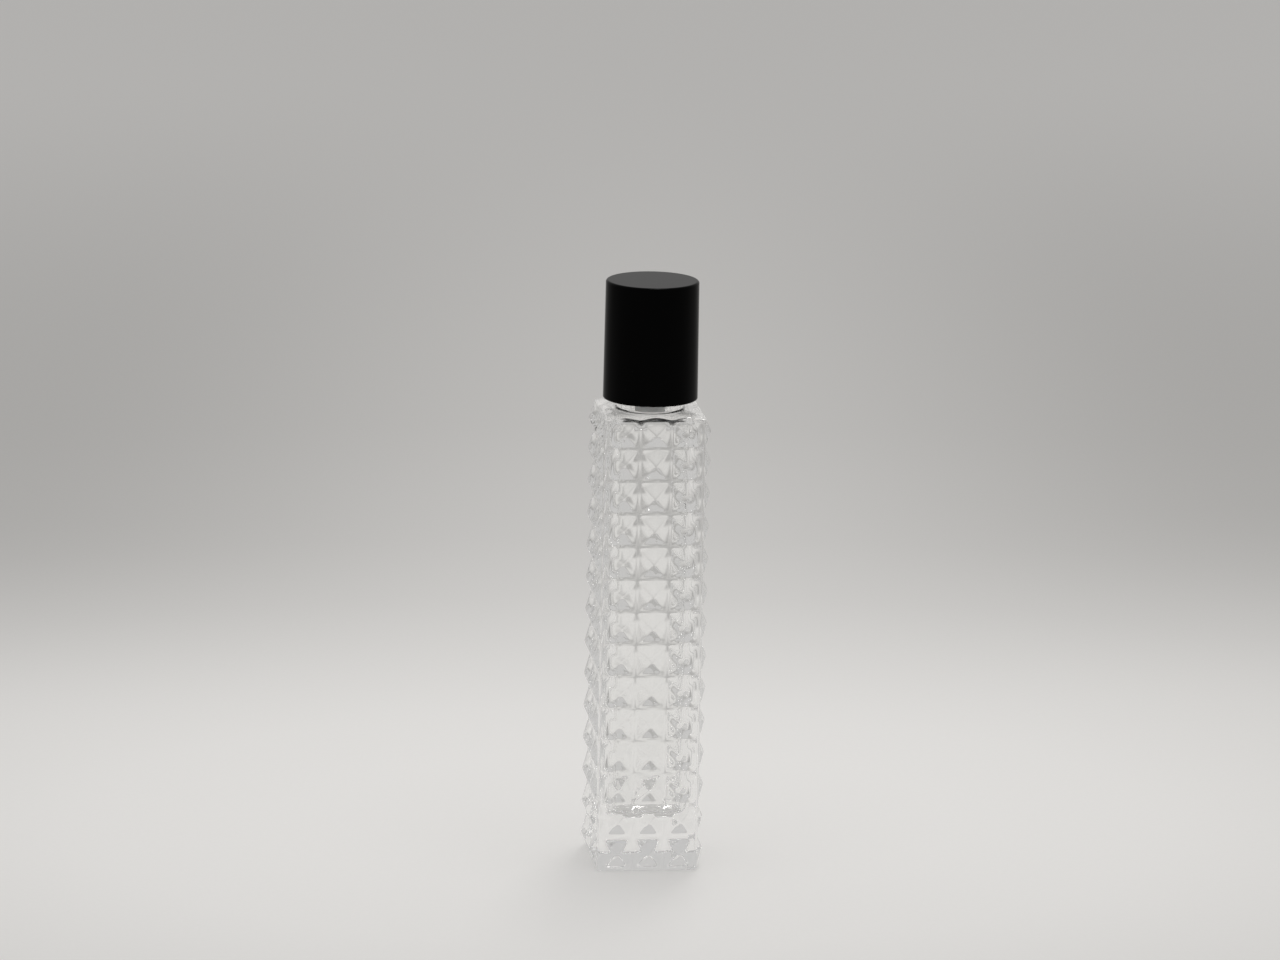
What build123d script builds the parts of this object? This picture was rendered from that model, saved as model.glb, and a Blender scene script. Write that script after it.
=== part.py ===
from build123d import *
import math
import os

os.makedirs("parts", exist_ok=True)

# Aftershave bottle, millimetres. +Z is up, the bottle axis is the Z axis, z = 0 is the table.

# Glass body
body_width = 23.6          # flat to flat, at the bottom of the grooves
heel_radius = 0.42
shoulder_radius = 0.75
column_count = 3
column_pitch = 7.35
row_count = 13             # full-height rows, a shorter one closes the field at the shoulder
row_pitch = 7.75
top_row_height = 6.58
stud_height = 1.7          # apex above the groove plane
stud_root = 1.0            # how far the stud field reaches into the body
corner_radius = (body_width - column_count * column_pitch) / 2
shoulder_z = heel_radius + row_count * row_pitch + top_row_height + shoulder_radius

# Hollow inside of the glass
cavity_width = 18.8
cavity_corner_radius = 2.8
cavity_floor_z = 12.0
cavity_roof_z = 107.0
cavity_floor_radius = 2.7
cavity_roof_radius = 1.8

# Neck finish, close to 18-415
neck_height = 16.2
neck_radius = 7.775
neck_root_radius = 0.5
neck_lip_radius = 0.45
bore_radius = 5.0
bore_lip_radius = 0.35
thread_lead = 3.175
thread_turns = 1.75
glass_thread_start = 7.4   # centre of the ridge above the shoulder
glass_thread_crest_radius = 8.85
glass_thread_base = 2.0
glass_thread_crest = 0.8
thread_sink = 0.15         # how far a thread's foot reaches into its wall

# Orifice reducer
flange_radius = 7.2
flange_thickness = 0.9
flange_edge_radius = 0.25
plug_radius = 4.9
plug_length = 9.0
plug_wall = 0.8
plug_taper = 1.4           # cone between the plug and the narrower spout under it
spout_radius = 3.5
spout_wall = 0.6
spout_depth = 17.4         # lower end below the neck's top
seal_ring_radius = 4.98
seal_ring_height = 0.8
seal_ring_depths = (1.9, 4.3, 6.7)
orifice_radius = 1.3
orifice_plate_thickness = 0.9
orifice_dish_radius = 3.6
orifice_dish_depth = 0.5

# Cap
cap_gap = 2.2              # rim above the shoulder
cap_height = 27.7
cap_rim_radius = 11.0
cap_top_radius = 10.8
cap_bore_radius = 10.05
cap_top_wall = 1.8
cap_top_edge_radius = 0.5
cap_rim_edge_radius = 0.3
stop_rib_count = 6
stop_rib_width = 1.0
stop_rib_inner_radius = 5.0
stop_rib_sink = 0.3        # how far a rib reaches into the wall and the roof

# Threaded cap insert
insert_recess = 0.6        # lower end above the cap rim
insert_bore_radius = 9.15
insert_wall_radius = 9.75
insert_rib_radius = 10.0
insert_rib_width = 1.2
insert_rib_count = 24
insert_rib_sink = 0.2
insert_rib_low_gap = 0.4   # below and above the ribs
insert_rib_high_gap = 1.0
insert_top_wall = 1.2
insert_edge = 0.4
insert_mouth_height = 0.5
insert_mouth_flare = 0.3
insert_thread_crest_radius = 8.1
insert_thread_base = 1.8
insert_thread_crest = 0.8

# Liner disc
liner_radius = 8.7
liner_thickness = 1.0
liner_edge_radius = 0.15
seat_play = 0.05

overlap = 1.0              # how far joined or cut shapes run past each other

# Heights that follow from the above
neck_top_z = shoulder_z + neck_height
flange_top_z = neck_top_z + flange_thickness
liner_z = flange_top_z + seat_play
insert_roof_z = liner_z + liner_thickness + seat_play
insert_top_z = insert_roof_z + insert_top_wall
cap_rim_z = shoulder_z + cap_gap
cap_top_z = cap_rim_z + cap_height
cap_roof_z = cap_top_z - cap_top_wall
insert_bottom_z = cap_rim_z + insert_recess


def zigzag_plate(spans, length, along_rows):
    """Plate whose outer side is a row of triangular ridges, one per span."""
    points = [(spans[0][0], -stud_root)]
    for low, high in spans:
        points.append((low, 0.0))
        points.append(((low + high) / 2, stud_height))
    points.append((spans[-1][1], 0.0))
    points.append((spans[-1][1], -stud_root))
    face = make_face(Polyline(*points, close=True))
    solid = extrude(face, amount=length / 2, both=True)
    if along_rows:
        # profile runs up the body, ridges run across it
        turn = Plane(origin=(0, 0, 0), x_dir=(0, 0, 1), z_dir=(0, -1, 0))
        return turn.location * solid
    # profile runs across the body, ridges run up it
    turn = Plane(origin=(0, 0, length / 2), x_dir=(0, 1, 0), z_dir=(0, 0, 1))
    return turn.location * solid


def helical_ridge(start_z, root_radius, crest_radius, base, crest):
    """Trapezoid ridge on a right-hand helix, its foot sunk a little into the wall."""
    depth = crest_radius - root_radius
    foot_radius = root_radius - math.copysign(thread_sink, depth)
    foot = base + thread_sink * (base - crest) / abs(depth)
    height = thread_turns * thread_lead
    path = Helix(pitch=thread_lead, height=height, radius=foot_radius, center=(0, 0, start_z))
    section_points = [
        (foot_radius, 0, start_z - foot / 2),
        (crest_radius, 0, start_z - crest / 2),
        (crest_radius, 0, start_z + crest / 2),
        (foot_radius, 0, start_z + foot / 2),
    ]
    section = make_face(Polyline(*section_points, close=True))
    return sweep(section, path=path, is_frenet=True)


def standing_cylinder(radius, low, high):
    """Round bar on the Z axis between two heights."""
    return Pos(0, 0, low) * Cylinder(radius, high - low, align=(Align.CENTER, Align.CENTER, Align.MIN))


def standing_box(inner, outer, width, low, high):
    """Radial bar along +X between two radii and two heights."""
    size = (outer - inner, width, high - low)
    return Pos(inner, 0, low) * Box(*size, align=(Align.MIN, Align.CENTER, Align.MIN))


def around(shape, count):
    """Copies of a shape, evenly spaced round the Z axis."""
    return [Rotation(0, 0, 360 * index / count) * shape for index in range(count)]


def revolved(points):
    """Solid of revolution about the Z axis from (radius, height) points."""
    face = make_face(Polyline(*[(r, 0, z) for r, z in points], close=True))
    return revolve(face, axis=Axis.Z)


# ---- bottle -------------------------------------------------------------------------------
core_sketch = RectangleRounded(body_width, body_width, corner_radius)
core = extrude(core_sketch, amount=shoulder_z)
core = fillet(core.faces().sort_by(Axis.Z)[0].edges(), heel_radius)
core = fillet(core.faces().sort_by(Axis.Z)[-1].edges(), shoulder_radius)

row_spans = []
row_low = heel_radius
for index in range(row_count):
    row_spans.append((row_low, row_low + row_pitch))
    row_low += row_pitch
row_spans.append((row_low, row_low + top_row_height))

column_spans = []
for index in range(column_count):
    column_low = (index - column_count / 2) * column_pitch
    column_spans.append((column_low, column_low + column_pitch))

rows_plate = zigzag_plate(row_spans, column_count * column_pitch, True)
columns_plate = zigzag_plate(column_spans, shoulder_z, False)
stud_field = Location((-body_width / 2, 0, 0)) * (rows_plate & columns_plate)
glass = core + around(stud_field, 4)

neck = standing_cylinder(neck_radius, shoulder_z - overlap, neck_top_z)
neck = fillet(neck.faces().sort_by(Axis.Z)[-1].edges(), neck_lip_radius)
root_middle = neck_root_radius * (1 - math.cos(math.pi / 4))
neck_root = revolved([
    (0, shoulder_z - overlap),
    (neck_radius + neck_root_radius, shoulder_z - overlap),
    (neck_radius + neck_root_radius, shoulder_z),
    (neck_radius + root_middle, shoulder_z + root_middle),
    (neck_radius, shoulder_z + neck_root_radius),
    (0, shoulder_z + neck_root_radius),
])
glass_thread = helical_ridge(
    shoulder_z + glass_thread_start,
    neck_radius,
    glass_thread_crest_radius,
    glass_thread_base,
    glass_thread_crest,
)
glass = glass + (neck + neck_root + glass_thread)

cavity_sketch = RectangleRounded(cavity_width, cavity_width, cavity_corner_radius)
cavity = Pos(0, 0, cavity_floor_z) * extrude(cavity_sketch, amount=cavity_roof_z - cavity_floor_z)
cavity = fillet(cavity.faces().sort_by(Axis.Z)[0].edges(), cavity_floor_radius)
cavity = fillet(cavity.faces().sort_by(Axis.Z)[-1].edges(), cavity_roof_radius)
bore = standing_cylinder(bore_radius, cavity_roof_z - overlap, neck_top_z + overlap)
bore_lip = revolved([
    (0, neck_top_z - bore_lip_radius),
    (bore_radius, neck_top_z - bore_lip_radius),
    (bore_radius + bore_lip_radius, neck_top_z),
    (bore_radius + bore_lip_radius, neck_top_z + overlap),
    (0, neck_top_z + overlap),
])
bottle = glass - (cavity + bore) - bore_lip

# ---- orifice reducer ----------------------------------------------------------------------
flange = standing_cylinder(flange_radius, neck_top_z, flange_top_z)
flange = fillet(flange.edges().filter_by(GeomType.CIRCLE), flange_edge_radius)
plug_bottom_z = neck_top_z - plug_length
spout_bottom_z = neck_top_z - spout_depth
plug = revolved([
    (0, spout_bottom_z),
    (spout_radius, spout_bottom_z),
    (spout_radius, plug_bottom_z - plug_taper),
    (plug_radius, plug_bottom_z),
    (plug_radius, neck_top_z + flange_thickness / 2),
    (0, neck_top_z + flange_thickness / 2),
])
for depth in seal_ring_depths:
    middle = neck_top_z - depth
    plug = plug + revolved([
        (0, middle - seal_ring_height / 2),
        (plug_radius, middle - seal_ring_height / 2),
        (seal_ring_radius, middle),
        (plug_radius, middle + seal_ring_height / 2),
        (0, middle + seal_ring_height / 2),
    ])
dish_floor_z = flange_top_z - orifice_dish_depth
plate_bottom_z = dish_floor_z - orifice_plate_thickness
dish = standing_cylinder(orifice_dish_radius, dish_floor_z, flange_top_z + overlap)
plug_bore = revolved([
    (0, spout_bottom_z - overlap),
    (spout_radius - spout_wall, spout_bottom_z - overlap),
    (spout_radius - spout_wall, plug_bottom_z - plug_taper),
    (plug_radius - plug_wall, plug_bottom_z),
    (plug_radius - plug_wall, plate_bottom_z),
    (0, plate_bottom_z),
])
orifice = standing_cylinder(orifice_radius, plate_bottom_z - overlap, flange_top_z)
reducer = flange + plug - dish - plug_bore - orifice

# ---- liner disc ---------------------------------------------------------------------------
liner = standing_cylinder(liner_radius, liner_z, liner_z + liner_thickness)
liner = fillet(liner.edges().filter_by(GeomType.CIRCLE), liner_edge_radius)

# ---- threaded cap insert ------------------------------------------------------------------
insert_wall = revolved([
    (0, insert_roof_z),
    (insert_bore_radius - insert_edge, insert_roof_z),
    (insert_bore_radius, insert_roof_z - insert_edge),
    (insert_bore_radius, insert_bottom_z + insert_mouth_height),
    (insert_bore_radius + insert_mouth_flare, insert_bottom_z),
    (insert_wall_radius, insert_bottom_z),
    (insert_wall_radius, insert_top_z - insert_edge),
    (insert_wall_radius - insert_edge, insert_top_z),
    (0, insert_top_z),
])
insert_rib = standing_box(
    insert_wall_radius - insert_rib_sink,
    insert_rib_radius + insert_rib_sink,
    insert_rib_width,
    insert_bottom_z + insert_rib_low_gap,
    insert_top_z - insert_rib_high_gap,
)
rib_limit = standing_cylinder(insert_rib_radius, insert_bottom_z, insert_top_z)
insert_thread = helical_ridge(
    shoulder_z + glass_thread_start - thread_lead / 2,
    insert_bore_radius,
    insert_thread_crest_radius,
    insert_thread_base,
    insert_thread_crest,
)
insert = ((insert_wall + around(insert_rib, insert_rib_count)) & rib_limit) + insert_thread

# ---- cap shell ----------------------------------------------------------------------------
shell = revolved([
    (0, cap_rim_z),
    (cap_rim_radius, cap_rim_z),
    (cap_top_radius, cap_top_z),
    (0, cap_top_z),
])
shell = fillet(shell.faces().sort_by(Axis.Z)[-1].edges(), cap_top_edge_radius)
shell = fillet(shell.faces().sort_by(Axis.Z)[0].edges(), cap_rim_edge_radius)
shell = shell - standing_cylinder(cap_bore_radius, cap_rim_z - overlap, cap_roof_z)
stop_rib = standing_box(
    stop_rib_inner_radius,
    cap_bore_radius + stop_rib_sink,
    stop_rib_width,
    insert_top_z + seat_play,
    cap_roof_z + stop_rib_sink,
)
shell = shell + around(stop_rib, stop_rib_count)

nodes = {
    "bottle": bottle,
    "orifice_reducer": reducer,
    "cap_liner": liner,
    "cap_insert": insert,
    "cap_shell": shell,
}
for name, shape in nodes.items():
    export_step(shape, f"parts/{name}.step")
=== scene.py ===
import math

import bmesh
import bpy
from mathutils import Matrix, Vector


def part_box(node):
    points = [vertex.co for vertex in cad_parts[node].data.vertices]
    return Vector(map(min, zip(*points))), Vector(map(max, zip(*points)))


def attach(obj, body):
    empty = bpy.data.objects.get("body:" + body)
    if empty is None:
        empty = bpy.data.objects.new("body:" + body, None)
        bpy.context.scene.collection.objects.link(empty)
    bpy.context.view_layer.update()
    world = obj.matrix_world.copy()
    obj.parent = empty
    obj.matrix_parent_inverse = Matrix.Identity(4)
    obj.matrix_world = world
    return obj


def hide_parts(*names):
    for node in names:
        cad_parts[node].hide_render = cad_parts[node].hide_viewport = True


# An aftershave bottle: pressed clear glass with diamond-point studs, a threaded neck with an
# orifice reducer, and a tall gloss black screw cap. Metres, +Z up, the bottle stands on z = 0.

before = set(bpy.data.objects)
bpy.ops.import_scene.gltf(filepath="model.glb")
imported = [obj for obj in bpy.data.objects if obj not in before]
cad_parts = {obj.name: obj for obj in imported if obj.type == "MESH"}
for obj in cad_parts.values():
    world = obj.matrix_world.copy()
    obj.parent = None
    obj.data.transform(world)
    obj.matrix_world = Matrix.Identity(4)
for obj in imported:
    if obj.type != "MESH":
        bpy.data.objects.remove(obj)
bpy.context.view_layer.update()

MM = 0.001

# ---- sizes --------------------------------------------------------------------------------

bottle_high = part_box("bottle")[1]
reducer_low, reducer_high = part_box("orifice_reducer")
liner_low, liner_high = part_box("cap_liner")
insert_low, insert_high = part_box("cap_insert")
shell_low, shell_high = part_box("cap_shell")

STUD_HEIGHT = 1.7 * MM
STUD_SOFTNESS = 0.28            # of a stud's height, along its ridges
GROOVE_SOFTNESS = 0.06
STUD_GAIN = 1.06
STUD_TIP = 0.97                 # of the stud's height, where its tip is blunted
STUD_TIP_SOFTNESS = 0.15
COLUMNS = 3
COLUMN_PITCH = 7.35 * MM
ROWS = 13
ROW_PITCH = 7.75 * MM
TOP_ROW = 6.58 * MM
HEEL = 0.42 * MM
SHOULDER_EDGE = 0.75 * MM
RUN_OUT_DEPTH = 0.5 * MM        # the grooves' ends on the shoulder
RUN_OUT_INNER = 9.5 * MM
LEVEL_PLAY = 0.01 * MM
STEPS = 14                      # mesh steps across one stud

groove_half = bottle_high[0] - STUD_HEIGHT
corner_radius = groove_half - COLUMNS * COLUMN_PITCH / 2
shoulder_z = HEEL + ROWS * ROW_PITCH + TOP_ROW + SHOULDER_EDGE
neck_top = bottle_high[2]

CAVITY_HALF = 9.4 * MM
CAVITY_CORNER = 2.8 * MM
CAVITY_FLOOR = 12.0 * MM
CAVITY_ROOF = 107.0 * MM
FLOOR_RADIUS = 2.7 * MM
ROOF_RADIUS = 1.8 * MM
CAVITY_RIPPLE = 0.16 * MM
RIPPLE_FULL = 0.35              # of the hollow's half width
RIPPLE_END = 0.75

NECK_RADIUS = 7.775 * MM
NECK_ROOT = 0.5 * MM
NECK_LIP = 0.45 * MM
BORE_RADIUS = 5.0 * MM
BORE_LIP = 0.35 * MM
BORE_FOOT = 1.0 * MM
THREAD_LEAD = 3.175 * MM
THREAD_TURNS = 1.75
THREAD_RUN_OUT = 0.09           # of a turn, at each end
THREAD_CREST = 0.8 * MM
THREAD_START = 7.4 * MM         # above the shoulder
GLASS_THREAD = 1.075 * MM
GLASS_THREAD_BASE = 2.0 * MM

INSERT_BORE = 9.15 * MM
INSERT_WALL = 9.75 * MM
INSERT_THREAD = 1.05 * MM
INSERT_THREAD_BASE = 1.8 * MM
INSERT_RIBS = 24
INSERT_RIB_WIDTH = 1.2 * MM
INSERT_RIB_EDGE = 0.12 * MM
INSERT_RIB_SLOPE = 0.3 * MM
INSERT_RIB_LOW_GAP = 0.4 * MM
INSERT_RIB_HIGH_GAP = 1.0 * MM
INSERT_SEGMENTS = 240

SHELL_TOP_RADIUS = 10.8 * MM
SHELL_BORE = 10.05 * MM
SHELL_TOP_WALL = 1.8 * MM
SHELL_SEGMENTS = 288
STOP_RIBS = 6
STOP_RIB_INNER = 5.0 * MM
STOP_RIB_WIDTH = 1.0 * MM
STOP_RIB_EDGE = 0.15 * MM
STOP_RIB_SINK = 0.3 * MM        # how far a rib reaches into the wall and the roof
SEAT_PLAY = 0.05 * MM

PLUG_RADIUS = 4.9 * MM
PLUG_WALL = 0.8 * MM
PLUG_LENGTH = 9.0 * MM
PLUG_TAPER = 1.4 * MM
SPOUT_RADIUS = 3.5 * MM
SPOUT_WALL = 0.6 * MM
SEAL_RADIUS = 4.98 * MM
SEAL_HALF = 0.4 * MM            # half the height of a sealing ring
SEAL_DEPTHS = (1.9 * MM, 4.3 * MM, 6.7 * MM)
POUR_HOLE = 1.3 * MM            # radius
POUR_PLATE = 0.9 * MM
DISH_RADIUS = 3.6 * MM
DISH_DEPTH = 0.5 * MM
REDUCER_SEGMENTS = 160

LINER_MARK_OUTER = 7.5 * MM     # the ring that the neck presses into the liner
LINER_MARK_INNER = 5.0 * MM
LINER_MARK_SLOPE = 0.2 * MM
LINER_MARK_DEPTH = 0.06 * MM
LINER_SEGMENTS = 160

RING = 4 * (COLUMNS * STEPS + 8)    # points round the glass


# ---- node trees ---------------------------------------------------------------------------

class Field:
    """A socket of a node tree that takes part in sums, so that a rule reads as a formula."""

    def __init__(self, tree, socket):
        self.tree = tree
        self.socket = socket

    def calc(self, operation, *others):
        node = self.tree.nodes.new("ShaderNodeMath")
        node.operation = operation
        for slot, value in zip(node.inputs, (self, *others)):
            plug(self.tree, value, slot)
        return Field(self.tree, node.outputs[0])

    def __add__(self, other):
        return self.calc("ADD", other)

    def __sub__(self, other):
        return self.calc("SUBTRACT", other)

    def __mul__(self, other):
        return self.calc("MULTIPLY", other)

    def __truediv__(self, other):
        return self.calc("DIVIDE", other)

    def times(self, vector):
        """This number times a vector field."""
        node = self.tree.nodes.new("ShaderNodeVectorMath")
        node.operation = "SCALE"
        plug(self.tree, vector, node.inputs[0])
        plug(self.tree, self, node.inputs["Scale"])
        return Field(self.tree, node.outputs[0])

    def between(self, low, high):
        """0 below low, 1 above high."""
        node = self.tree.nodes.new("ShaderNodeMapRange")
        node.interpolation_type = "SMOOTHSTEP"
        plug(self.tree, self, node.inputs["Value"])
        plug(self.tree, low, node.inputs["From Min"])
        plug(self.tree, high, node.inputs["From Max"])
        return Field(self.tree, node.outputs["Result"])


def plug(tree, value, slot):
    """Joins a field to a slot, or writes a plain value into it."""
    if isinstance(value, Field):
        tree.links.new(value.socket, slot)
    else:
        slot.default_value = value


def add_vectors(tree, first, second):
    node = tree.nodes.new("ShaderNodeVectorMath")
    node.operation = "ADD"
    plug(tree, first, node.inputs[0])
    plug(tree, second, node.inputs[1])
    return Field(tree, node.outputs[0])


def geometry_tree(name, sizes):
    """A geometry tree with named float inputs. Returns it with its fields by name."""
    tree = bpy.data.node_groups.new(name, "GeometryNodeTree")
    tree.interface.new_socket(name="Blank", in_out="INPUT", socket_type="NodeSocketGeometry")
    for label, value in sizes.items():
        socket = tree.interface.new_socket(name=label, in_out="INPUT", socket_type="NodeSocketFloat")
        socket.default_value = value
    tree.interface.new_socket(name="Finish", in_out="INPUT", socket_type="NodeSocketMaterial")
    tree.interface.new_socket(name="Piece", in_out="OUTPUT", socket_type="NodeSocketGeometry")
    inlet = tree.nodes.new("NodeGroupInput")
    outlet = tree.nodes.new("NodeGroupOutput")
    fields = {socket.name: Field(tree, socket) for socket in inlet.outputs if socket.name}
    return tree, fields, outlet


def finish_tree(tree, geometry, finish, outlet):
    """Realize Instances and Set Material, the end of every tree."""
    realize = tree.nodes.new("GeometryNodeRealizeInstances")
    paint = tree.nodes.new("GeometryNodeSetMaterial")
    plug(tree, geometry, realize.inputs[0])
    tree.links.new(realize.outputs[0], paint.inputs["Geometry"])
    plug(tree, finish, paint.inputs["Material"])
    tree.links.new(paint.outputs[0], outlet.inputs[0])


def attribute(tree, name, data_type="FLOAT"):
    node = tree.nodes.new("GeometryNodeInputNamedAttribute")
    node.data_type = data_type
    node.inputs["Name"].default_value = name
    return Field(tree, node.outputs["Attribute"])


def position(tree):
    """The x, y and z of the position."""
    node = tree.nodes.new("GeometryNodeInputPosition")
    split = tree.nodes.new("ShaderNodeSeparateXYZ")
    tree.links.new(node.outputs[0], split.inputs[0])
    return (Field(tree, split.outputs[i]) for i in range(3))


def set_position(tree, geometry, offset):
    node = tree.nodes.new("GeometryNodeSetPosition")
    plug(tree, geometry, node.inputs["Geometry"])
    plug(tree, offset, node.inputs["Offset"])
    return Field(tree, node.outputs[0])


def outward(tree, x, y):
    """Unit vector away from the bottle's axis."""
    node = tree.nodes.new("ShaderNodeCombineXYZ")
    plug(tree, x, node.inputs[0])
    plug(tree, y, node.inputs[1])
    unit = tree.nodes.new("ShaderNodeVectorMath")
    unit.operation = "NORMALIZE"
    tree.links.new(node.outputs[0], unit.inputs[0])
    return Field(tree, unit.outputs[0])


def thread_rule(x, y, z, start, lead, turns, base, crest):
    """0 off a right-hand helical ridge and 1 on its crest, with both ends run out."""
    angle = y.calc("ARCTAN2", x) / (2 * math.pi)
    angle = angle.calc("FRACT")
    level = (z - start) / lead
    turn = (level - angle).calc("ROUND") + angle
    away = ((level - turn) * lead).calc("ABSOLUTE")
    ridge = away.between(base / 2, crest / 2)
    run_in = turn.between(0.0, THREAD_RUN_OUT)
    run_out = turn.between(turns, turns - THREAD_RUN_OUT)
    return ridge * run_in * run_out


def fixed_piece(obj, tree, finish):
    """Sets the tree's inputs, runs it on an object and keeps the result as its plain mesh."""
    modifier = obj.modifiers.new(tree.name, "NODES")
    modifier.node_group = tree
    for item in tree.interface.items_tree:
        if item.item_type != "SOCKET" or item.in_out != "INPUT" or item.name == "Blank":
            continue
        modifier[item.identifier] = finish if item.name == "Finish" else item.default_value
    settled = obj.evaluated_get(bpy.context.evaluated_depsgraph_get())
    mesh = bpy.data.meshes.new_from_object(settled)
    obj.modifiers.clear()
    obj.data = mesh
    mesh.name = obj.name
    return obj


# ---- meshes -------------------------------------------------------------------------------

def new_object(name, bm, finish=None):
    mesh = bpy.data.meshes.new(name)
    bmesh.ops.recalc_face_normals(bm, faces=bm.faces)
    bm.to_mesh(mesh)
    bm.free()
    for polygon in mesh.polygons:
        polygon.use_smooth = True
    obj = bpy.data.objects.new(name, mesh)
    bpy.context.scene.collection.objects.link(obj)
    if finish:
        mesh.materials.append(finish)
    return obj


def skin_rings(bm, rings, closed_loop=False):
    """Faces between rings of vertices. A ring of one vertex is a pole."""
    pairs = list(zip(rings, rings[1:]))
    if closed_loop:
        pairs.append((rings[-1], rings[0]))
    for low, high in pairs:
        count = max(len(low), len(high))
        for i in range(count):
            j = (i + 1) % count
            if len(low) == 1:
                bm.faces.new((low[0], high[i], high[j]))
            elif len(high) == 1:
                bm.faces.new((low[i], low[j], high[0]))
            else:
                bm.faces.new((low[i], low[j], high[j], high[i]))


def rounded_profile(corners, loop=False, chord=0.12 * MM, guard=0.25 * MM):
    """(radius, height) points along corners (radius, height, fillet), with guard points that
    keep the flat stretches flat when they are shaded."""
    points = []
    count = len(corners)
    for index, (r, z, fillet) in enumerate(corners):
        here = Vector((r, z))
        if not loop and index in (0, count - 1):
            points.append(here)
            continue
        before = Vector(corners[index - 1][:2]) - here
        after = Vector(corners[(index + 1) % count][:2]) - here
        turn = math.pi - before.angle(after)
        reach = fillet * math.tan(turn / 2)
        start = here + before.normalized() * reach
        end = here + after.normalized() * reach
        if before.length > reach + 3 * guard:
            points.append(start + before.normalized() * guard)
        steps = max(3, round(fillet * turn / chord))
        centre = here + (before.normalized() + after.normalized()).normalized() * (
            fillet / math.cos(turn / 2)
        )
        for step in range(steps + 1):
            share = step / steps
            ray = (start - centre).lerp(end - centre, share)
            swing = (start - centre).angle(end - centre)
            if swing > 1e-6:
                first = math.sin((1 - share) * swing) / math.sin(swing)
                second = math.sin(share * swing) / math.sin(swing)
                ray = (start - centre) * first + (end - centre) * second
            points.append(centre + ray)
        if after.length > reach + 3 * guard:
            points.append(end + after.normalized() * guard)
    return points


def divided(points, spacing, low, high):
    """The profile with its long vertical stretches between two heights cut to a spacing."""
    result = [points[0]]
    for here, there in zip(points, points[1:]):
        middle = (here.y + there.y) / 2
        upright = abs(here.x - there.x) < 0.2 * abs(here.y - there.y)
        if upright and low < middle < high:
            steps = max(1, round(abs(here.y - there.y) / spacing))
            result.extend(here.lerp(there, step / steps) for step in range(1, steps))
        result.append(there)
    return result


def turned(bm, points, segments, loop=False):
    """A body of revolution about the bottle's axis."""
    rings = []
    for point in points:
        if point.x < 1e-7:
            rings.append([bm.verts.new((0, 0, point.y))])
            continue
        ring = []
        for i in range(segments):
            angle = 2 * math.pi * i / segments
            ring.append(bm.verts.new((point.x * math.cos(angle), point.x * math.sin(angle), point.y)))
        rings.append(ring)
    skin_rings(bm, rings, loop)


# ---- the glass ----------------------------------------------------------------------------

def square_ring(inset):
    """Outline of the body, its flats divided to suit the stud columns, as (x, y, across, side)."""
    half = groove_half - inset
    flat = COLUMNS * COLUMN_PITCH / 2
    radius = corner_radius - inset
    side_points = []
    for step in range(4):
        swing = math.radians(-45 + 45 * step / 4)
        side_points.append((flat + radius * math.cos(swing), -flat + radius * math.sin(swing), None))
    for step in range(COLUMNS * STEPS + 1):
        across = -flat + 2 * flat * step / (COLUMNS * STEPS)
        side_points.append((half, across, across))
    for step in range(1, 4):
        swing = math.radians(45 * step / 4)
        side_points.append((flat + radius * math.cos(swing), flat + radius * math.sin(swing), None))
    ring = []
    for side in range(4):
        turn = Matrix.Rotation(math.radians(90 * side), 2)
        for x, y, across in side_points:
            place = turn @ Vector((x, y))
            ring.append((place.x, place.y, across, side))
    return ring


def round_ring(radius):
    """Circle with as many points as the body's outline, in step with it."""
    ring = []
    for i in range(RING):
        angle = 2 * math.pi * i / RING - math.pi / 4
        ring.append((radius * math.cos(angle), radius * math.sin(angle), None, None))
    return ring


def cavity_ring(inset):
    """Rounded square outline of the hollow, at even angles round the axis."""
    half = CAVITY_HALF - inset
    corner = max(CAVITY_CORNER - inset, 0.6 * MM)
    core = half - corner
    ring = []
    for i in range(RING):
        side = int(i * 4 / RING)
        angle = 2 * math.pi * i / RING - math.pi / 4 - side * math.pi / 2
        across = half * math.tan(angle)
        if abs(across) <= core:
            x, y = half, across
        else:
            sign = math.copysign(1, angle)
            along = core * (math.cos(angle) + abs(math.sin(angle)))
            reach = along + math.sqrt(along * along - 2 * core * core + corner * corner)
            x, y = reach * math.cos(angle), sign * reach * abs(math.sin(angle))
        turn = Matrix.Rotation(side * math.pi / 2, 2)
        place = turn @ Vector((x, y))
        ring.append((place.x, place.y, y, side))
    return ring


def morph(first, second, share):
    return [
        (a[0] + (b[0] - a[0]) * share, a[1] + (b[1] - a[1]) * share, None, None)
        for a, b in zip(first, second)
    ]


def shrink(ring, share):
    return [(x * share, y * share, None, None) for x, y, across, side in ring]


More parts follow.
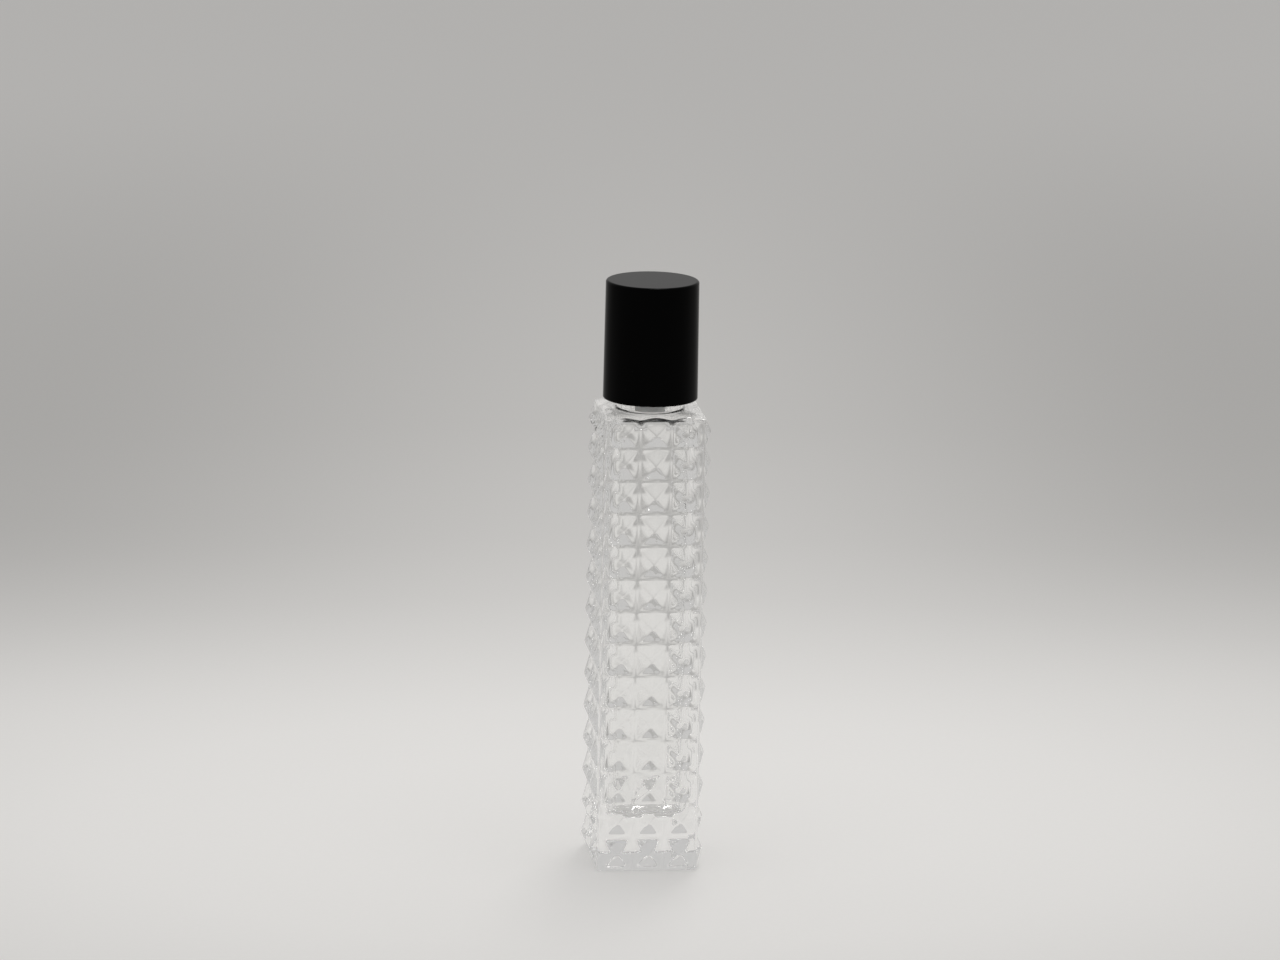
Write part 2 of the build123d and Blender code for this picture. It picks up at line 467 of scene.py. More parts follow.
def glass_blank():
    """The bottle as it leaves a smooth mould: body, neck and hollow, one closed skin."""
    stations = []                      # (ring, height, zone)
    base = square_ring(HEEL)
    for share in (0.3, 0.55, 0.8, 0.95, 0.985):
        stations.append((shrink(base, share), 0.0, 0))
    for step in range(5):
        swing = math.radians(90 * step / 5)
        stations.append((square_ring(HEEL * (1 - math.sin(swing))), HEEL * (1 - math.cos(swing)), 0))
    row_heights = [ROW_PITCH] * ROWS + [TOP_ROW]
    height = HEEL
    for row_height in row_heights:
        for step in range(STEPS):
            stations.append((square_ring(0.0), height + row_height * step / STEPS, 1))
        height += row_height
    for step in range(9):
        swing = math.radians(90 * step / 8)
        inset = SHOULDER_EDGE * (1 - math.cos(swing))
        stations.append((square_ring(inset), height + SHOULDER_EDGE * math.sin(swing), 0))
    rim = square_ring(SHOULDER_EDGE)
    root = round_ring(NECK_RADIUS + NECK_ROOT)
    for share in (0.06, 0.15, 0.28, 0.45, 0.65, 0.9):
        stations.append((morph(rim, root, share), shoulder_z, 0))
    for step in range(7):
        swing = math.radians(90 * step / 6)
        radius = NECK_RADIUS + NECK_ROOT * (1 - math.sin(swing))
        stations.append((round_ring(radius), shoulder_z + NECK_ROOT * (1 - math.cos(swing)), 0))
    wall_low = shoulder_z + NECK_ROOT
    wall_high = neck_top - NECK_LIP
    wall_steps = round((wall_high - wall_low) / (0.22 * MM))
    for step in range(1, wall_steps):
        stations.append((round_ring(NECK_RADIUS), wall_low + (wall_high - wall_low) * step / wall_steps, 3))
    for step in range(6):
        swing = math.radians(90 * step / 5)
        radius = NECK_RADIUS - NECK_LIP * (1 - math.cos(swing))
        stations.append((round_ring(radius), wall_high + NECK_LIP * math.sin(swing), 0))
    land_outer = NECK_RADIUS - NECK_LIP
    land_inner = BORE_RADIUS + BORE_LIP
    for share in (0.12, 0.5, 0.88):
        stations.append((round_ring(land_outer + (land_inner - land_outer) * share), neck_top, 0))
    for step in range(5):
        swing = math.radians(90 * step / 4)
        radius = BORE_RADIUS + BORE_LIP * (1 - math.sin(swing))
        stations.append((round_ring(radius), neck_top - BORE_LIP * (1 - math.cos(swing)), 0))
    bore_top = neck_top - BORE_LIP
    bore_low = CAVITY_ROOF + BORE_FOOT
    for step in range(1, 12):
        stations.append((round_ring(BORE_RADIUS), bore_top + (bore_low - bore_top) * step / 12, 0))
    for step in range(7):
        swing = math.radians(90 * step / 6)
        radius = BORE_RADIUS + BORE_FOOT * (1 - math.cos(swing))
        stations.append((round_ring(radius), bore_low - BORE_FOOT * math.sin(swing), 0))
    for step in range(1, 13):
        swing = math.radians(90 * step / 12)
        inset = ROOF_RADIUS * (1 - math.sin(swing))
        height = CAVITY_ROOF - ROOF_RADIUS * (1 - math.cos(swing))
        ring = cavity_ring(inset)
        if step < 4:
            ring = morph(round_ring(BORE_RADIUS + BORE_FOOT), ring, 0.25 + 0.25 * step)
        stations.append((ring, height, 0))
    cavity_high = CAVITY_ROOF - ROOF_RADIUS
    cavity_low = CAVITY_FLOOR + FLOOR_RADIUS
    for step in range(1, 80):
        stations.append((cavity_ring(0.0), cavity_high + (cavity_low - cavity_high) * step / 80, 2))
    for step in range(11):
        swing = math.radians(90 * step / 10)
        inset = FLOOR_RADIUS * (1 - math.cos(swing))
        stations.append((cavity_ring(inset), cavity_low - FLOOR_RADIUS * math.sin(swing), 0))
    floor_ring = cavity_ring(FLOOR_RADIUS)
    for share in (0.93, 0.7, 0.4):
        stations.append((shrink(floor_ring, share), CAVITY_FLOOR, 0))

    bm = bmesh.new()
    across_layer = bm.verts.layers.float.new("across")
    zone_layer = bm.verts.layers.float.new("zone")
    out_layer = bm.verts.layers.float_vector.new("out")
    rings = [[bm.verts.new((0, 0, 0))]]
    for ring, height, zone in stations:
        verts = []
        for x, y, across, side in ring:
            vert = bm.verts.new((x, y, height))
            if zone == 3 or (zone and across is not None):
                vert[zone_layer] = zone
            if across is not None:
                vert[across_layer] = across
                angle = side * math.pi / 2
                vert[out_layer] = (math.cos(angle), math.sin(angle), 0)
            verts.append(vert)
        rings.append(verts)
    rings.append([bm.verts.new((0, 0, CAVITY_FLOOR))])
    skin_rings(bm, rings)
    split_along_ridges(bm, zone_layer, across_layer)
    run_out_grooves(bm)
    return new_object("glass_bottle", bm)


def run_out_grooves(bm):
    """Lets the grooves between the columns of studs run out over the shoulder's edge."""
    edge_low = shoulder_z - SHOULDER_EDGE
    for vert in bm.verts:
        x, y, z = (abs(value) for value in vert.co)
        reach = max(x, y)
        if z < edge_low or z > shoulder_z + LEVEL_PLAY or reach < RUN_OUT_INNER:
            continue
        column = (min(x, y) / COLUMN_PITCH + COLUMNS / 2) % 1.0
        inward = min(1.0, (reach - RUN_OUT_INNER) / (groove_half - SHOULDER_EDGE - RUN_OUT_INNER))
        upward = (z - edge_low) / SHOULDER_EDGE
        vert.co.z -= RUN_OUT_DEPTH * (2 * column - 1) ** 2 * inward * upward


def split_along_ridges(bm, zone_layer, across_layer):
    """Cuts the quads of the stud field so that no triangle crosses a stud's four ridges."""
    for face in list(bm.faces):
        if len(face.verts) != 4 or any(v[zone_layer] != 1 for v in face.verts):
            continue
        across = sum(v[across_layer] for v in face.verts) / 4
        height = sum(v.co.z for v in face.verts) / 4 - HEEL
        column = (across / COLUMN_PITCH + COLUMNS / 2) % 1.0
        if height < ROWS * ROW_PITCH:
            row = (height / ROW_PITCH) % 1.0
        else:
            row = (height - ROWS * ROW_PITCH) / TOP_ROW
        rising = (column - 0.5) * (row - 0.5) > 0
        by_height = sorted(face.verts, key=lambda v: v.co.z)
        low = sorted(by_height[:2], key=lambda v: v[across_layer])
        high = sorted(by_height[2:], key=lambda v: v[across_layer])
        if rising:
            bmesh.utils.face_split(face, low[0], high[1])
        else:
            bmesh.utils.face_split(face, low[1], high[0])


def glass_tree():
    """Presses the studs into the flats, a faint echo of them into the hollow, and the thread."""
    sizes = {
        "Column pitch": COLUMN_PITCH,
        "Row pitch": ROW_PITCH,
        "Top row": TOP_ROW,
        "First row": HEEL,
        "Stud height": STUD_HEIGHT,
        "Stud softness": STUD_SOFTNESS,
        "Groove softness": GROOVE_SOFTNESS,
        "Ripple": CAVITY_RIPPLE,
        "Thread start": shoulder_z + THREAD_START,
        "Thread lead": THREAD_LEAD,
        "Thread turns": THREAD_TURNS,
        "Thread height": GLASS_THREAD,
    }
    tree, fields, outlet = geometry_tree("pressed_glass", sizes)
    x, y, z = position(tree)
    across = attribute(tree, "across")
    zone = attribute(tree, "zone")
    out = attribute(tree, "out", "FLOAT_VECTOR")

    column = (across / fields["Column pitch"] + COLUMNS / 2).calc("FRACT")
    column_rise = column.calc("PINGPONG", 0.5) * 2.0
    full_rows = (z - fields["First row"]) / fields["Row pitch"]
    last_row = (full_rows - ROWS) * fields["Row pitch"] / fields["Top row"]
    in_top = full_rows.calc("GREATER_THAN", ROWS)
    row = last_row * in_top + full_rows * (in_top * -1.0 + 1.0)
    row_rise = row.calc("PINGPONG", 0.5) * 2.0

    def softened(rise):
        """Rounds the bottom of a groove without moving it."""
        root = (rise * rise + fields["Groove softness"] * fields["Groove softness"]).calc("SQRT")
        return root - fields["Groove softness"]

    # the flat's last groove lies on its edge, where the rise is 0
    stud = softened(column_rise).calc("SMOOTH_MIN", softened(row_rise), fields["Stud softness"])
    stud = (stud * STUD_GAIN).calc("SMOOTH_MIN", STUD_TIP, STUD_TIP_SOFTNESS).calc("MAXIMUM", 0.0)
    on_flat = zone.calc("COMPARE", 1.0, 0.1)
    in_hollow = zone.calc("COMPARE", 2.0, 0.1)
    on_neck = zone.calc("COMPARE", 3.0, 0.1)
    inner_column = (across / fields["Column pitch"] * math.pi).calc("COSINE").calc("POWER", 2.0)
    inner_row = (full_rows * math.pi).calc("SINE").calc("POWER", 2.0)
    edge_fade = across.calc("ABSOLUTE").between(CAVITY_HALF * RIPPLE_END, CAVITY_HALF * RIPPLE_FULL)
    end_fade = z.between(CAVITY_FLOOR + FLOOR_RADIUS, CAVITY_FLOOR + 2 * FLOOR_RADIUS) * z.between(
        CAVITY_ROOF - ROOF_RADIUS, CAVITY_ROOF - 2 * ROOF_RADIUS
    )
    ripple = inner_column * inner_row * edge_fade * end_fade * fields["Ripple"]
    flat_move = stud * fields["Stud height"] * on_flat + ripple * in_hollow
    thread = thread_rule(
        x, y, z, fields["Thread start"], fields["Thread lead"], fields["Thread turns"],
        GLASS_THREAD_BASE, THREAD_CREST,
    )
    neck_move = thread * fields["Thread height"] * on_neck
    offset = add_vectors(tree, flat_move.times(out), neck_move.times(outward(tree, x, y)))
    finish_tree(tree, set_position(tree, fields["Blank"], offset), fields["Finish"], outlet)
    return tree


# ---- the cap and what is in it ------------------------------------------------------------

def insert_blank():
    """Threaded inner cap, before its thread and ribs."""
    low = insert_low[2]
    roof = liner_high[2] + SEAT_PLAY
    top = insert_high[2]
    corners = [
        (0, top, 0),
        (INSERT_WALL, top, 0.4 * MM),
        (INSERT_WALL, low, 0.15 * MM),
        (INSERT_BORE, low, 0.25 * MM),
        (INSERT_BORE, roof, 0.3 * MM),
        (0, roof, 0),
    ]
    points = divided(rounded_profile(corners), 0.24 * MM, low, top)
    bm = bmesh.new()
    turned(bm, points, INSERT_SEGMENTS)
    return new_object("threaded_cap_insert", bm)


def insert_tree():
    """Cuts the cap's thread inside the insert and raises its grip ribs outside."""
    sizes = {
        "Wall": (INSERT_BORE + INSERT_WALL) / 2,
        "Thread start": shoulder_z + THREAD_START - THREAD_LEAD / 2,
        "Thread lead": THREAD_LEAD,
        "Thread turns": THREAD_TURNS,
        "Thread height": INSERT_THREAD,
        "Rib height": insert_high[0] - INSERT_WALL,
        "Rib low": insert_low[2] + INSERT_RIB_LOW_GAP,
        "Rib high": insert_high[2] - INSERT_RIB_HIGH_GAP,
    }
    tree, fields, outlet = geometry_tree("thread_and_ribs", sizes)
    x, y, z = position(tree)
    radius = (x * x + y * y).calc("SQRT")
    outside = radius.calc("GREATER_THAN", fields["Wall"])
    near_bore = radius.calc("GREATER_THAN", INSERT_BORE - 0.1 * MM)
    inside = near_bore - outside
    thread = thread_rule(
        x, y, z, fields["Thread start"], fields["Thread lead"], fields["Thread turns"],
        INSERT_THREAD_BASE, THREAD_CREST,
    )
    spacing = 2 * math.pi / INSERT_RIBS
    angle = y.calc("ARCTAN2", x)
    off_rib = (angle / spacing).calc("PINGPONG", 0.5) * spacing * INSERT_WALL
    rib = off_rib.between(INSERT_RIB_WIDTH / 2 + INSERT_RIB_EDGE, INSERT_RIB_WIDTH / 2 - INSERT_RIB_EDGE)
    rib_span = z.between(fields["Rib low"], fields["Rib low"] + INSERT_RIB_SLOPE) * z.between(
        fields["Rib high"], fields["Rib high"] - INSERT_RIB_SLOPE
    )
    move = rib * rib_span * fields["Rib height"] * outside - thread * fields["Thread height"] * inside
    offset = move.times(outward(tree, x, y))
    finish_tree(tree, set_position(tree, fields["Blank"], offset), fields["Finish"], outlet)
    return tree


def shell_blank():
    """Outer cap: tall, smooth, a little narrower at the top, hollow for the insert."""
    rim = shell_low[2]
    top = shell_high[2]
    rim_radius = shell_high[0]
    corners = [
        (0, top, 0),
        (SHELL_TOP_RADIUS, top, 0.55 * MM),
        (rim_radius, rim, 0.3 * MM),
        (SHELL_BORE, rim, 0.15 * MM),
        (SHELL_BORE, top - SHELL_TOP_WALL, 0.4 * MM),
        (0, top - SHELL_TOP_WALL, 0),
    ]
    points = divided(rounded_profile(corners), 1.5 * MM, rim, top)
    bm = bmesh.new()
    turned(bm, points, SHELL_SEGMENTS)
    return new_object("cap_outer_shell", bm)


def rib_blank():
    """One stop rib of the outer cap, standing on the insert, its edges rounded."""
    low = insert_high[2] + SEAT_PLAY
    high = shell_high[2] - SHELL_TOP_WALL + STOP_RIB_SINK
    bm = bmesh.new()
    bmesh.ops.create_cube(bm, size=1.0)
    length = SHELL_BORE - STOP_RIB_INNER + STOP_RIB_SINK
    for vert in bm.verts:
        vert.co.x = STOP_RIB_INNER + length * (vert.co.x + 0.5)
        vert.co.y *= STOP_RIB_WIDTH
        vert.co.z = low + (high - low) * (vert.co.z + 0.5)
    bmesh.ops.bevel(
        bm, geom=bm.edges[:], offset=STOP_RIB_EDGE, segments=3, affect="EDGES", profile=0.5
    )
    return new_object("stop_rib", bm)


def shell_tree(rib):
    """Sets the stop ribs round the inside of the outer cap."""
    tree, fields, outlet = geometry_tree("stop_ribs", {"Ribs": float(STOP_RIBS)})
    circle = tree.nodes.new("GeometryNodeMeshCircle")
    circle.inputs["Radius"].default_value = 0.0
    tree.links.new(fields["Ribs"].socket, circle.inputs["Vertices"])
    points = tree.nodes.new("GeometryNodeMeshToPoints")
    tree.links.new(circle.outputs[0], points.inputs[0])
    index = tree.nodes.new("GeometryNodeInputIndex")
    swing = Field(tree, index.outputs[0]) / fields["Ribs"] * (2 * math.pi)
    turn = tree.nodes.new("ShaderNodeCombineXYZ")
    plug(tree, swing, turn.inputs["Z"])
    source = tree.nodes.new("GeometryNodeObjectInfo")
    source.inputs["Object"].default_value = rib
    place = tree.nodes.new("GeometryNodeInstanceOnPoints")
    tree.links.new(points.outputs[0], place.inputs["Points"])
    tree.links.new(source.outputs["Geometry"], place.inputs["Instance"])
    tree.links.new(turn.outputs[0], place.inputs["Rotation"])
    join = tree.nodes.new("GeometryNodeJoinGeometry")
    tree.links.new(place.outputs[0], join.inputs[0])
    tree.links.new(fields["Blank"].socket, join.inputs[0])
    finish_tree(tree, Field(tree, join.outputs[0]), fields["Finish"], outlet)
    return tree


def reducer_piece(finish):
    """Orifice reducer: flange on the neck, hollow plug with three sealing rings, narrower spout under it."""
    flange_top = reducer_high[2]
    flange_low = neck_top
    plug_low = flange_low - PLUG_LENGTH
    spout_high = plug_low - PLUG_TAPER
    spout_low = reducer_low[2]
    plate_top = flange_top - DISH_DEPTH
    plate_low = plate_top - POUR_PLATE
    corners = [
        (POUR_HOLE, plate_top, 0.18 * MM),
        (DISH_RADIUS, plate_top, 0.2 * MM),
        (DISH_RADIUS, flange_top, 0.15 * MM),
        (reducer_high[0], flange_top, 0.25 * MM),
        (reducer_high[0], flange_low, 0.2 * MM),
        (PLUG_RADIUS, flange_low, 0.12 * MM),
    ]
    for depth in SEAL_DEPTHS:
        middle = flange_low - depth
        corners += [
            (PLUG_RADIUS, middle + SEAL_HALF, 0.05 * MM),
            (SEAL_RADIUS, middle, 0.2 * MM),
            (PLUG_RADIUS, middle - SEAL_HALF, 0.05 * MM),
        ]
    corners += [
        (PLUG_RADIUS, plug_low, 0.3 * MM),
        (SPOUT_RADIUS, spout_high, 0.3 * MM),
        (SPOUT_RADIUS, spout_low, 0.2 * MM),
        (SPOUT_RADIUS - SPOUT_WALL, spout_low, 0.2 * MM),
        (SPOUT_RADIUS - SPOUT_WALL, spout_high, 0.3 * MM),
        (PLUG_RADIUS - PLUG_WALL, plug_low, 0.3 * MM),
        (PLUG_RADIUS - PLUG_WALL, plate_low, 0.3 * MM),
        (POUR_HOLE, plate_low, 0.15 * MM),
    ]
    bm = bmesh.new()
    turned(bm, rounded_profile(corners, loop=True), REDUCER_SEGMENTS, loop=True)
    return new_object("orifice_reducer_plug", bm, finish)


def liner_piece(finish):
    """Foam sealing disc, its edge a little crushed, its face dished by the neck."""
    low = liner_low[2]
    top = liner_high[2]
    radius = liner_high[0]
    corners = [
        (0, top, 0),
        (radius, top, 0.22 * MM),
        (radius, low, 0.3 * MM),
        (LINER_MARK_OUTER, low, 0.1 * MM),
        (LINER_MARK_OUTER - LINER_MARK_SLOPE, low + LINER_MARK_DEPTH, 0.1 * MM),
        (LINER_MARK_INNER + LINER_MARK_SLOPE, low + LINER_MARK_DEPTH, 0.1 * MM),
        (LINER_MARK_INNER, low, 0.1 * MM),
        (0, low, 0),
    ]
    bm = bmesh.new()
    turned(bm, rounded_profile(corners, chord=0.08 * MM), LINER_SEGMENTS)
    return new_object("foam_liner_disc", bm, finish)


# ---- finishes -----------------------------------------------------------------------------

def new_finish(name):
    """A material with a Principled shader. Returns the material, its tree and the shader."""
    finish = bpy.data.materials.new(name)
    finish.use_nodes = True
    tree = finish.node_tree
    shader = next(node for node in tree.nodes if node.type == "BSDF_PRINCIPLED")
    return finish, tree, shader


def object_place(tree):
    return Field(tree, tree.nodes.new("ShaderNodeTexCoord").outputs["Object"])


def grain(tree, scale, detail=2.0, roughness=0.5, stretch=None):
    """Noise on the piece's own coordinates, 0 to 1. stretch scales each axis."""
    place = object_place(tree)
    if stretch:
        mapping = tree.nodes.new("ShaderNodeMapping")
        tree.links.new(place.socket, mapping.inputs["Vector"])
        mapping.inputs["Scale"].default_value = stretch
        place = Field(tree, mapping.outputs[0])
    node = tree.nodes.new("ShaderNodeTexNoise")
    node.inputs["Scale"].default_value = scale
    node.inputs["Detail"].default_value = detail
    node.inputs["Roughness"].default_value = roughness
    tree.links.new(place.socket, node.inputs["Vector"])
    return Field(tree, node.outputs[0])


def shades(tree, field, *stops):
    """Colours along a field, as (place, (r, g, b)) stops."""
    ramp = tree.nodes.new("ShaderNodeValToRGB")
    plug(tree, field, ramp.inputs[0])
    elements = ramp.color_ramp.elements
    while len(elements) < len(stops):
        elements.new(0.5)
    for element, (place, colour) in zip(elements, stops):
        element.position = place
        element.color = (*colour, 1)
    return Field(tree, ramp.outputs[0])


def relief(tree, shader, height, distance, strength=1.0):
    bump = tree.nodes.new("ShaderNodeBump")
    bump.inputs["Strength"].default_value = strength
    bump.inputs["Distance"].default_value = distance
    plug(tree, height, bump.inputs["Height"])
    tree.links.new(bump.outputs[0], shader.inputs["Normal"])


def clear_glass():
    """Pressed, fire-polished soda glass: colourless, with the mould's faint waves."""
    finish, tree, shader = new_finish("clear_pressed_glass")
    shader.inputs["Transmission Weight"].default_value = 1.0
    shader.inputs["IOR"].default_value = 1.517
    tint = grain(tree, 60.0, 2.0)
    colour = shades(tree, tint, (0.35, (0.978, 0.98, 0.976)), (0.65, (0.992, 0.992, 0.989)))
    plug(tree, colour, shader.inputs["Base Color"])
    film = grain(tree, 260.0, 4.0, 0.6).between(0.52, 0.78)
    plug(tree, film * 0.03 + 0.004, shader.inputs["Roughness"])
    waves = grain(tree, 130.0, 1.0) * 0.7 + grain(tree, 420.0, 1.0) * 0.3
    relief(tree, shader, waves, 0.00006)
    return finish


def black_gloss():
    """Moulded gloss black plastic, with a trace of flow, fine dust and handling film."""
    finish, tree, shader = new_finish("gloss_black_plastic")
    shader.inputs["IOR"].default_value = 1.49
    shader.inputs["Specular IOR Level"].default_value = 0.035
    flow = grain(tree, 90.0, 3.0, 0.6, stretch=(1.0, 1.0, 0.35))
    colour = shades(tree, flow, (0.3, (0.0004, 0.0004, 0.0004)), (0.75, (0.0010, 0.0010, 0.0010)))
    plug(tree, colour, shader.inputs["Base Color"])
    film = grain(tree, 300.0, 5.0, 0.65).between(0.45, 0.8)
    plug(tree, film * 0.05 + 0.05, shader.inputs["Roughness"])
    peel = grain(tree, 900.0, 2.0)
    relief(tree, shader, peel, 0.000004)
    return finish


def satin_black():
    """Moulded black polypropylene of the threaded insert, finely grained."""
    finish, tree, shader = new_finish("satin_black_polypropylene")
    shader.inputs["IOR"].default_value = 1.49
    mottle = grain(tree, 240.0, 3.0, 0.6)
    colour = shades(tree, mottle, (0.3, (0.012, 0.012, 0.013)), (0.75, (0.024, 0.024, 0.025)))
    plug(tree, colour, shader.inputs["Base Color"])
    plug(tree, mottle * 0.18 + 0.3, shader.inputs["Roughness"])
    relief(tree, shader, grain(tree, 2600.0, 2.0), 0.00002)
    return finish


def natural_polyethylene():
    """Milky, waxy low-density polyethylene of the reducer."""
    finish, tree, shader = new_finish("natural_polyethylene")
    shader.inputs["IOR"].default_value = 1.51
    shader.inputs["Subsurface Weight"].default_value = 0.55
    shader.inputs["Subsurface Radius"].default_value = (1.0, 0.95, 0.9)
    shader.inputs["Subsurface Scale"].default_value = 0.0012
    mottle = grain(tree, 320.0, 3.0, 0.55)
    colour = shades(tree, mottle, (0.3, (0.74, 0.76, 0.76)), (0.7, (0.84, 0.85, 0.845)))
    plug(tree, colour, shader.inputs["Base Color"])
    plug(tree, mottle * 0.15 + 0.32, shader.inputs["Roughness"])
    relief(tree, shader, grain(tree, 1500.0, 3.0), 0.00002)
    return finish


def liner_foam():
    """Closed-cell foam of the liner, with fine cells."""
    finish, tree, shader = new_finish("white_foam")
    place = object_place(tree)
    cells = tree.nodes.new("ShaderNodeTexVoronoi")
    cells.inputs["Scale"].default_value = 3800.0
    tree.links.new(place.socket, cells.inputs["Vector"])
    cell = Field(tree, cells.outputs["Distance"])
    colour = shades(tree, cell, (0.05, (0.68, 0.67, 0.64)), (0.6, (0.83, 0.82, 0.79)))
    plug(tree, colour, shader.inputs["Base Color"])
    plug(tree, grain(tree, 500.0, 3.0) * 0.2 + 0.65, shader.inputs["Roughness"])
    relief(tree, shader, cell, 0.00006)
    return finish


# ---- stage, light and camera --------------------------------------------------------------

PAPER_GAP = 0.08 * MM           # the glass rests on high spots of the paper
PAPER_HALF = 12.0
PAPER_TONE = (0.50, 0.495, 0.485)
PAPER_DIP_TONE = (0.49, 0.485, 0.475)

LAMP_TINT = (1.0, 0.985, 0.965)
LAMP_PLACE = (0.08, 0.2, 0.75)
LAMP_AIM = (0.0, 0.0, 0.08)
LAMP_WIDTH = 0.12
LAMP_LENGTH = 0.3
LAMP_POWER = 1.18

# painted light: the paper's own emission makes a pool of light round the bottle, with no lamp beneath it
PAINTED_POOL_PLACE = 0.03         # the middle of the painted pool of light, behind the bottle
PAINTED_POOL_STRETCH = 0.75
PAINTED_POOL_GLOW = ((0.06, 0.375), (0.10, 0.355), (0.175, 0.28), (0.22, 0.235), (0.29, 0.195), (0.44, 0.16))
PAINTED_SIDE_SHADE = 0.68                # painted shade: the painted pool of light darkens to both sides, behind the bottle
PAINTED_SHADE_REACH = 0.2
PAINTED_SHADE_SLANT = 0.13
PAINTED_SHADE_NEAR = (0.12, 0.36)
PAINTED_SHADE_FAR = (1.2, 0.4)

TENT_TONE = (0.56, 0.555, 0.55)
TENT_LOW_TONE = (0.57, 0.563, 0.556)
TENT_LOW_REACH = (0.15, 0.5)
TENT_OPENING = (-0.13, -0.961, 0.242)
TENT_OPENING_EDGE = (0.55, 0.93)
TENT_OPENING_TONE = (0.43, 0.427, 0.423)

LIGHT_BOUNCES = 24              # light stays trapped in the studs for long
GLOSSY_BOUNCES = 16


def paper_table():
    """A wide flat sheet of pale paper, which glows with a painted pool of light."""
    bm = bmesh.new()
    bmesh.ops.create_grid(bm, x_segments=24, y_segments=24, size=PAPER_HALF)
    bmesh.ops.translate(bm, verts=bm.verts, vec=(0, 0, -PAPER_GAP))
    sheet = new_object("paper_table", bm, pale_paper())


def pale_paper():
    """Smooth pale paper that glows with a painted pool of light: its emission is brightest near the middle
    and fades away from it.
    """
    finish, tree, shader = new_finish("pale_paper")
    place = object_place(tree)
    fibre = grain(tree, 900.0, 3.0)
    plug(tree, shades(tree, fibre, (0.3, PAPER_DIP_TONE), (0.7, PAPER_TONE)), shader.inputs["Base Color"])
    shader.inputs["Roughness"].default_value = 0.8
    shader.inputs["Specular IOR Level"].default_value = 0.15
    relief(tree, shader, fibre, 0.00002, 0.4)
    centred = tree.nodes.new("ShaderNodeMapping")
    centred.inputs["Location"].default_value = (0.0, -PAINTED_POOL_PLACE, 0.0)
    centred.inputs["Scale"].default_value = (PAINTED_POOL_STRETCH, 1.0, 0.0)
    tree.links.new(place.socket, centred.inputs["Vector"])
    reach = tree.nodes.new("ShaderNodeVectorMath")
    reach.operation = "LENGTH"
    tree.links.new(centred.outputs[0], reach.inputs[0])
    stops = [(away, tuple(strength * share for share in LAMP_TINT)) for away, strength in PAINTED_POOL_GLOW]
    # painted pool of light: the emission colour falls off with distance from the pool's middle
    painted_pool = shades(tree, Field(tree, reach.outputs["Value"]), *stops)
    plug(tree, painted_pool, shader.inputs["Emission Color"])
    # painted shade: the paper's emission is dimmed to both sides, behind the bottle
    split = tree.nodes.new("ShaderNodeSeparateXYZ")
    tree.links.new(place.socket, split.inputs[0])
    depth = Field(tree, split.outputs[1])
    aside = (Field(tree, split.outputs[0]) - depth * PAINTED_SHADE_SLANT).calc("ABSOLUTE")
    painted_shade_aside = aside.between(0.0, PAINTED_SHADE_REACH)
    behind = depth.between(*PAINTED_SHADE_NEAR) * depth.between(*PAINTED_SHADE_FAR)
    plug(tree, painted_shade_aside * behind * -PAINTED_SIDE_SHADE + 1.0, shader.inputs["Emission Strength"])
    return finish


def overhead_softbox():
    """A soft rectangular light above and a little behind the bottle."""
    data = bpy.data.lights.new("overhead", "AREA")
    data.shape = "RECTANGLE"
    data.size = LAMP_WIDTH
    data.size_y = LAMP_LENGTH
    data.energy = LAMP_POWER
    data.color = LAMP_TINT
    lamp = bpy.data.objects.new("overhead", data)
    bpy.context.scene.collection.objects.link(lamp)
    lamp.location = LAMP_PLACE
    lamp.rotation_euler = (Vector(LAMP_AIM) - Vector(LAMP_PLACE)).to_track_quat("-Z", "Y").to_euler()


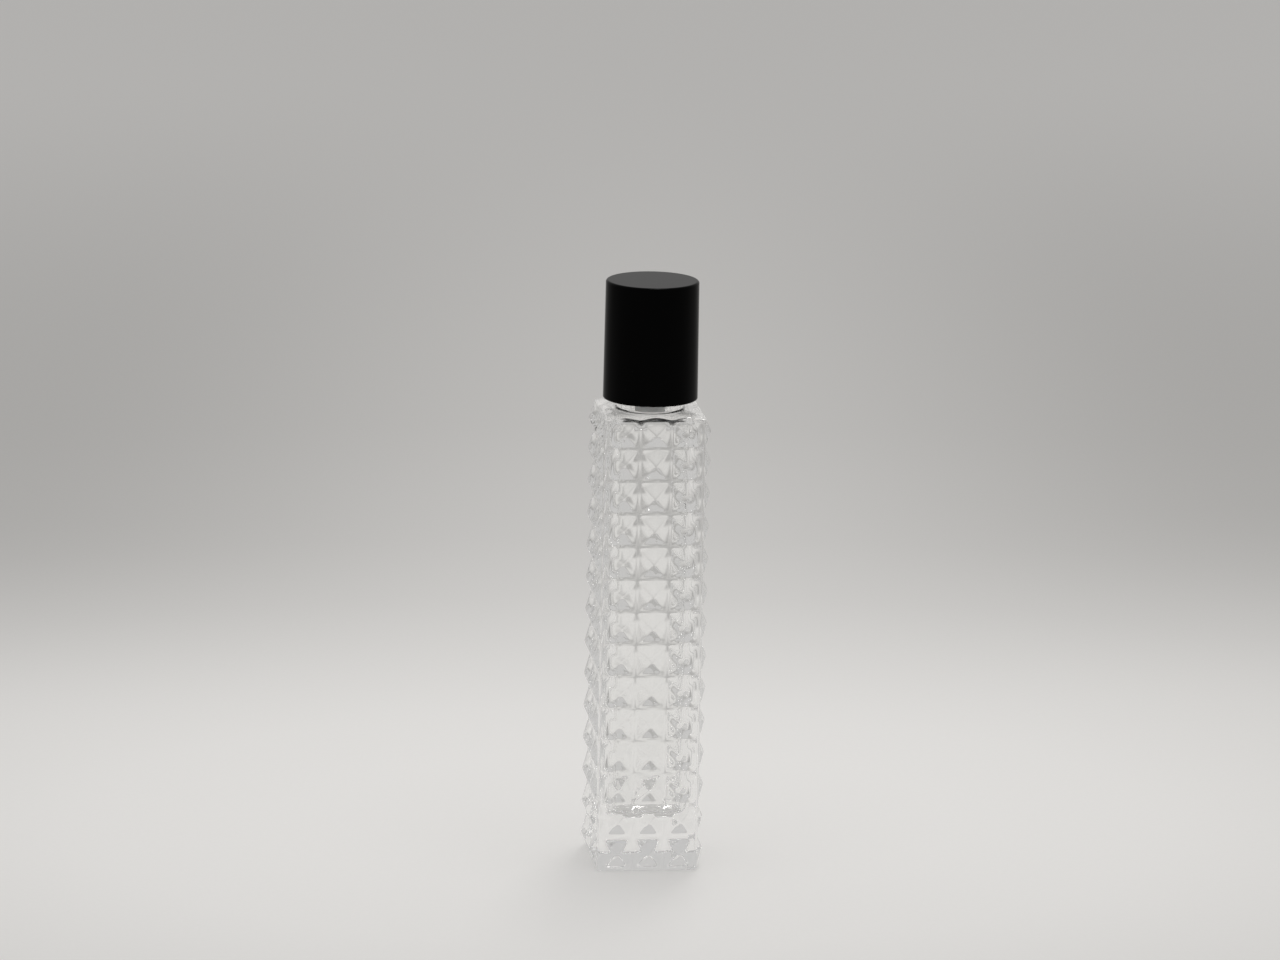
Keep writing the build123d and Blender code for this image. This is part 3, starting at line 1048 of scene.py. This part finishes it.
def room_light():
    """A white tent all round, with a dark opening in front where the camera looks in."""
    world = bpy.data.worlds.new("white_tent")
    world.use_nodes = True
    tree = world.node_tree
    background = next(node for node in tree.nodes if node.type == "BACKGROUND")
    place = tree.nodes.new("ShaderNodeTexCoord")
    towards = tree.nodes.new("ShaderNodeVectorMath")
    towards.operation = "DOT_PRODUCT"
    tree.links.new(place.outputs["Generated"], towards.inputs[0])
    towards.inputs[1].default_value = TENT_OPENING
    opening = Field(tree, towards.outputs["Value"]).between(*TENT_OPENING_EDGE)
    split = tree.nodes.new("ShaderNodeSeparateXYZ")
    tree.links.new(place.outputs["Generated"], split.inputs[0])
    height = Field(tree, split.outputs[2]).between(*TENT_LOW_REACH)
    wall = shades(tree, height, (0.0, TENT_LOW_TONE), (1.0, TENT_TONE))
    mix = tree.nodes.new("ShaderNodeMix")
    mix.data_type = "RGBA"
    plug(tree, opening, mix.inputs[0])
    plug(tree, wall, mix.inputs[6])
    mix.inputs[7].default_value = (*TENT_OPENING_TONE, 1.0)
    tree.links.new(mix.outputs[2], background.inputs["Color"])
    bpy.context.scene.world = world


def stand_camera():
    """Long lens, a little above and to the left of the front, tipped a touch to one side."""
    distance = 1.32
    height_seen = 0.0682
    down = math.radians(14.0)
    left = math.radians(7.5)
    lean = math.radians(1.2)
    lift = math.radians(0.966)
    aside = math.radians(0.066)
    aim = Vector((0, 0, height_seen))
    towards = Vector((math.sin(left) * math.cos(down), math.cos(left) * math.cos(down), -math.sin(down)))
    data = bpy.data.cameras.new("camera")
    data.lens = 159.2
    data.sensor_width = 36.0
    data.clip_start = 0.05
    camera = bpy.data.objects.new("camera", data)
    bpy.context.scene.collection.objects.link(camera)
    facing = towards.to_track_quat("-Z", "Y").to_matrix()
    facing = facing @ Matrix.Rotation(lean, 3, "Z")
    facing = facing @ Matrix.Rotation(lift, 3, "X") @ Matrix.Rotation(aside, 3, "Y")
    camera.matrix_world = Matrix.Translation(aim - towards * distance) @ facing.to_4x4()
    bpy.context.scene.camera = camera


# ---- assembly -----------------------------------------------------------------------------

bpy.context.scene.view_settings.view_transform = "Standard"
light_paths = bpy.context.scene.cycles
light_paths.max_bounces = LIGHT_BOUNCES
light_paths.transmission_bounces = LIGHT_BOUNCES
light_paths.glossy_bounces = GLOSSY_BOUNCES
stand_camera()
paper_table()
room_light()
overhead_softbox()

glass = fixed_piece(glass_blank(), glass_tree(), clear_glass())
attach(glass, "glass_bottle")
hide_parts("bottle")

reducer = reducer_piece(natural_polyethylene())
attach(reducer, "glass_bottle")
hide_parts("orifice_reducer")

liner = liner_piece(liner_foam())
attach(liner, "liner")
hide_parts("cap_liner")

insert = fixed_piece(insert_blank(), insert_tree(), satin_black())
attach(insert, "cap")
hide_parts("cap_insert")

rib = rib_blank()
shell = fixed_piece(shell_blank(), shell_tree(rib), black_gloss())
bpy.data.objects.remove(rib)
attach(shell, "cap")
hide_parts("cap_shell")
